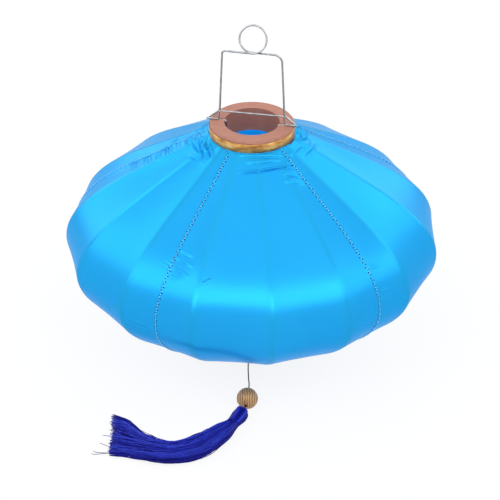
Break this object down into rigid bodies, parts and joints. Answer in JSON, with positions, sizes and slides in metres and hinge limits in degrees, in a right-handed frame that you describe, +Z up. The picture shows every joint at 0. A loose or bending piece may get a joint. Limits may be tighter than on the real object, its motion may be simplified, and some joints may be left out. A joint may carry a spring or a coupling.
{
  "type": "folding satin lantern",
  "caption": "Round folding lantern: satin shade on bowed bamboo ribs between notched wooden hubs, with a bent wire hanging frame, a bead and a silk tassel.",
  "frame": {"origin": "centre of the bottom hub's resting face, on the lantern's axis", "axes": "+Z up the axis to the hanging eye, -Y the side where the tassel lies"},
  "size_m": [0.3758, 0.404, 0.3611],
  "materials": {
    "satin": "sky blue satin with a soft sheen",
    "hub_wood": "brown-pink wood, sanded",
    "gilt_band": "gilt paper, streaky sheen",
    "rib_wire": "bright wire",
    "bamboo": "split bamboo",
    "frame_wire": "galvanised wire",
    "thread": "dark twisted thread",
    "bead_wood": "turned wood with open grain",
    "tassel": "royal blue silk strands"
  },
  "bodies": {
    "base": {"bottom_hub": "hub_wood", "bottom_trim_band": "gilt_band", "bottom_rib_ring": "rib_wire", "rib_01": "bamboo", "rib_02": "bamboo", "rib_03": "bamboo", "rib_04": "bamboo", "rib_05": "bamboo", "rib_06": "bamboo", "rib_07": "bamboo", "rib_08": "bamboo", "rib_09": "bamboo", "rib_10": "bamboo", "rib_11": "bamboo", "rib_12": "bamboo", "rib_13": "bamboo", "rib_14": "bamboo", "rib_15": "bamboo", "satin_gore_1": "satin", "satin_gore_2": "satin", "satin_gore_3": "satin", "satin_gore_4": "satin", "satin_gore_5": "satin", "hanging_frame": "frame_wire", "tassel_pin": "bamboo", "tassel_thread": "thread", "wooden_bead": "bead_wood", "tassel_head": "tassel", "tassel_skirt": "tassel"},
    "crown": {"top_hub": "hub_wood", "top_trim_band": "gilt_band", "top_rib_ring": "rib_wire", "spreader_wire": "frame_wire"}
  },
  "joints": [
    {"name": "fold", "type": "slide", "parent": "base", "child": "crown", "axis": [0, 0, 1], "range_m": [0, 0.063], "deforming": ["rib_01", "rib_02", "rib_03", "rib_04", "rib_05", "rib_06", "rib_07", "rib_08", "rib_09", "rib_10", "rib_11", "rib_12", "rib_13", "rib_14", "rib_15", "satin_gore_1", "satin_gore_2", "satin_gore_3", "satin_gore_4", "satin_gore_5", "hanging_frame"]}
  ]
}
